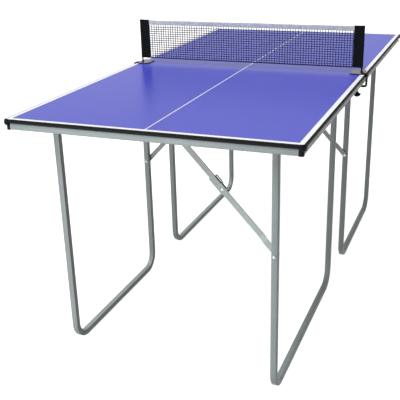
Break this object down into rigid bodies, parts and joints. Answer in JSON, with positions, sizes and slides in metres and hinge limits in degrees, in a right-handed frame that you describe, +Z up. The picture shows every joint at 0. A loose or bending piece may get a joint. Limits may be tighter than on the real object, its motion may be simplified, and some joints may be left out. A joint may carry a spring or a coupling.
{
  "type": "ping pong table",
  "caption": "Mid-size table tennis table in two joined halves on folding U-shaped tube legs with jackknife braces and a clamped net.",
  "frame": {"origin": "on the floor, under the middle of the table", "axes": "+Z up, +Y along the table from the near half to the far half, +X to the right"},
  "size_m": [0.849, 1.68, 0.9135],
  "materials": {
    "blue_board": "blue-violet satin paint with white border lines",
    "black_plastic": "black moulded plastic",
    "grey_rail": "light grey powder coat",
    "grey_leg": "grey powder coat",
    "grey_brace": "grey powder coat on flat bar",
    "zinc_steel": "bright zinc",
    "black_steel": "black enamel",
    "net_cord": "black knotted net cord",
    "net_sleeve": "black woven sleeve",
    "white_tape": "white cotton tape"
  },
  "bodies": {
    "near_half": {"near_board": "blue_board", "near_edge_moulding": "black_plastic", "near_end_rail": "grey_rail", "near_outer_side_rail": "grey_rail", "near_inner_side_rail": "grey_rail", "near_seam_rail": "grey_rail", "near_outer_corner_cap": "black_plastic", "near_inner_corner_cap": "black_plastic", "near_outer_leg_bracket_end": "grey_leg", "near_outer_leg_bracket_seam": "grey_leg", "near_inner_leg_bracket_end": "grey_leg", "near_inner_leg_bracket_seam": "grey_leg", "near_outer_brace_bracket": "grey_brace", "near_inner_brace_bracket": "grey_brace", "clamp_bracket_left": "black_steel", "clamp_bracket_right": "black_steel"},
    "near_inner_leg": {"near_inner_leg": "grey_leg", "near_inner_leg_rivet": "zinc_steel"},
    "near_inner_brace_upper": {"near_inner_brace_upper_arm": "grey_brace"},
    "near_inner_brace_lower": {"near_inner_brace_lower_arm": "grey_brace"},
    "near_inner_catch": {"near_inner_brace_catch": "black_steel"},
    "near_outer_leg": {"near_outer_leg": "grey_leg", "near_outer_leg_rivet": "zinc_steel"},
    "near_outer_brace_upper": {"near_outer_brace_upper_arm": "grey_brace"},
    "near_outer_brace_lower": {"near_outer_brace_lower_arm": "grey_brace"},
    "near_outer_catch": {"near_outer_brace_catch": "black_steel"},
    "near_bolt": {"near_slide_bolt": "zinc_steel"},
    "far_half": {"far_board": "blue_board", "far_edge_moulding": "black_plastic", "far_end_rail": "grey_rail", "far_outer_side_rail": "grey_rail", "far_inner_side_rail": "grey_rail", "far_seam_rail": "grey_rail", "far_outer_corner_cap": "black_plastic", "far_inner_corner_cap": "black_plastic", "far_outer_leg_bracket_end": "grey_leg", "far_outer_leg_bracket_seam": "grey_leg", "far_inner_leg_bracket_end": "grey_leg", "far_inner_leg_bracket_seam": "grey_leg", "far_outer_brace_bracket": "grey_brace", "far_inner_brace_bracket": "grey_brace"},
    "far_inner_leg": {"far_inner_leg": "grey_leg", "far_inner_leg_rivet": "zinc_steel"},
    "far_inner_brace_upper": {"far_inner_brace_upper_arm": "grey_brace"},
    "far_inner_brace_lower": {"far_inner_brace_lower_arm": "grey_brace"},
    "far_inner_catch": {"far_inner_brace_catch": "black_steel"},
    "far_outer_leg": {"far_outer_leg": "grey_leg", "far_outer_leg_rivet": "zinc_steel"},
    "far_outer_brace_upper": {"far_outer_brace_upper_arm": "grey_brace"},
    "far_outer_brace_lower": {"far_outer_brace_lower_arm": "grey_brace"},
    "far_outer_catch": {"far_outer_brace_catch": "black_steel"},
    "far_bolt": {"far_slide_bolt": "zinc_steel"},
    "net": {"net_mesh": "net_cord", "net_top_tape": "white_tape", "net_sleeve_left": "net_sleeve", "net_sleeve_right": "net_sleeve"},
    "clamp_pad_left": {"clamp_pad_left": "black_plastic"},
    "clamp_screw_left": {"clamp_screw_left": "black_plastic"},
    "clamp_pad_right": {"clamp_pad_right": "black_plastic"},
    "clamp_screw_right": {"clamp_screw_right": "black_plastic"}
  },
  "joints": [
    {"name": "halves_apart", "type": "slide", "parent": "near_half", "child": "far_half", "axis": [0, 1, 0], "range_m": [0, 0.3]},
    {"name": "near_inner_leg_fold", "type": "hinge", "parent": "near_half", "child": "near_inner_leg", "pos_m": [-0.335, -0.4265, 0.737], "axis": [0, -1, 0], "range_deg": [0, 90]},
    {"name": "near_inner_brace_top", "type": "hinge", "parent": "near_half", "child": "near_inner_brace_upper", "pos_m": [-0.051, -0.1223, 0.735], "axis": [0, 1, 0], "range_deg": [0, 42.79]},
    {"name": "near_inner_brace_middle", "type": "hinge", "parent": "near_inner_brace_upper", "child": "near_inner_brace_lower", "pos_m": [-0.18432, -0.126, 0.59064], "axis": [0, -1, 0], "range_deg": [0, 180]},
    {"name": "near_inner_catch_press", "type": "hinge", "parent": "near_inner_brace_lower", "child": "near_inner_catch", "pos_m": [-0.19556, -0.126, 0.59558], "axis": [0, -1, 0], "range_deg": [0, 10], "stiffness_Nm_per_rad": 0.08},
    {"name": "near_outer_leg_fold", "type": "hinge", "parent": "near_half", "child": "near_outer_leg", "pos_m": [0.329, -0.414, 0.737], "axis": [0, 1, 0], "range_deg": [0, 76.5]},
    {"name": "near_outer_brace_top", "type": "hinge", "parent": "near_half", "child": "near_outer_brace_upper", "pos_m": [0.045, -0.7423, 0.735], "axis": [0, -1, 0], "range_deg": [0, 44.84]},
    {"name": "near_outer_brace_middle", "type": "hinge", "parent": "near_outer_brace_upper", "child": "near_outer_brace_lower", "pos_m": [0.17832, -0.746, 0.59064], "axis": [0, 1, 0], "range_deg": [0, 161.38]},
    {"name": "near_outer_catch_press", "type": "hinge", "parent": "near_outer_brace_lower", "child": "near_outer_catch", "pos_m": [0.18956, -0.746, 0.59558], "axis": [0, 1, 0], "range_deg": [0, 10], "stiffness_Nm_per_rad": 0.08},
    {"name": "near_bolt_slide", "type": "slide", "parent": "near_half", "child": "near_bolt", "axis": [0, -1, 0], "range_m": [0, 0.028]},
    {"name": "far_inner_leg_fold", "type": "hinge", "parent": "far_half", "child": "far_inner_leg", "pos_m": [0.335, 0.4265, 0.737], "axis": [0, 1, 0], "range_deg": [0, 90]},
    {"name": "far_inner_brace_top", "type": "hinge", "parent": "far_half", "child": "far_inner_brace_upper", "pos_m": [0.051, 0.1223, 0.735], "axis": [0, -1, 0], "range_deg": [0, 42.79]},
    {"name": "far_inner_brace_middle", "type": "hinge", "parent": "far_inner_brace_upper", "child": "far_inner_brace_lower", "pos_m": [0.18432, 0.126, 0.59064], "axis": [0, 1, 0], "range_deg": [0, 180]},
    {"name": "far_inner_catch_press", "type": "hinge", "parent": "far_inner_brace_lower", "child": "far_inner_catch", "pos_m": [0.19556, 0.126, 0.59558], "axis": [0, 1, 0], "range_deg": [0, 10], "stiffness_Nm_per_rad": 0.08},
    {"name": "far_outer_leg_fold", "type": "hinge", "parent": "far_half", "child": "far_outer_leg", "pos_m": [-0.329, 0.414, 0.737], "axis": [0, -1, 0], "range_deg": [0, 76.5]},
    {"name": "far_outer_brace_top", "type": "hinge", "parent": "far_half", "child": "far_outer_brace_upper", "pos_m": [-0.045, 0.7423, 0.735], "axis": [0, 1, 0], "range_deg": [0, 44.84]},
    {"name": "far_outer_brace_middle", "type": "hinge", "parent": "far_outer_brace_upper", "child": "far_outer_brace_lower", "pos_m": [-0.17832, 0.746, 0.59064], "axis": [0, -1, 0], "range_deg": [0, 161.38]},
    {"name": "far_outer_catch_press", "type": "hinge", "parent": "far_outer_brace_lower", "child": "far_outer_catch", "pos_m": [-0.18956, 0.746, 0.59558], "axis": [0, -1, 0], "range_deg": [0, 10], "stiffness_Nm_per_rad": 0.08},
    {"name": "far_bolt_slide", "type": "slide", "parent": "far_half", "child": "far_bolt", "axis": [0, 1, 0], "range_m": [0, 0.028]},
    {"name": "net_lift", "type": "slide", "parent": "near_half", "child": "net", "axis": [0, 0, 1], "range_m": [0, 0.15]},
    {"name": "clamp_left_travel", "type": "slide", "parent": "near_half", "child": "clamp_pad_left", "axis": [0, 0, 1], "range_m": [-0.004, 0]},
    {"name": "clamp_left_turn", "type": "hinge", "parent": "clamp_pad_left", "child": "clamp_screw_left", "pos_m": [-0.393, -0.02, 0.69], "axis": [0, 0, 1], "range_deg": [-960, 0]},
    {"name": "clamp_right_travel", "type": "slide", "parent": "near_half", "child": "clamp_pad_right", "axis": [0, 0, 1], "range_m": [-0.004, 0]},
    {"name": "clamp_right_turn", "type": "hinge", "parent": "clamp_pad_right", "child": "clamp_screw_right", "pos_m": [0.393, -0.02, 0.69], "axis": [0, 0, 1], "range_deg": [-960, 0]}
  ],
  "couplings": [
    {"joint": "near_inner_brace_top", "follows": "near_inner_leg_fold", "ratio": 0.47544},
    {"joint": "near_inner_brace_middle", "follows": "near_inner_leg_fold", "ratio": 2},
    {"joint": "near_outer_leg_fold", "follows": "near_inner_leg_fold", "ratio": 0.85},
    {"joint": "near_outer_brace_top", "follows": "near_inner_leg_fold", "ratio": 0.49826},
    {"joint": "near_outer_brace_middle", "follows": "near_inner_leg_fold", "ratio": 1.7931},
    {"joint": "far_inner_brace_top", "follows": "far_inner_leg_fold", "ratio": 0.47544},
    {"joint": "far_inner_brace_middle", "follows": "far_inner_leg_fold", "ratio": 2},
    {"joint": "far_outer_leg_fold", "follows": "far_inner_leg_fold", "ratio": 0.85},
    {"joint": "far_outer_brace_top", "follows": "far_inner_leg_fold", "ratio": 0.49826},
    {"joint": "far_outer_brace_middle", "follows": "far_inner_leg_fold", "ratio": 1.7931},
    {"joint": "clamp_left_travel", "follows": "clamp_left_turn", "m_per_rad": 0.00023873},
    {"joint": "clamp_right_travel", "follows": "clamp_right_turn", "m_per_rad": 0.00023873}
  ]
}
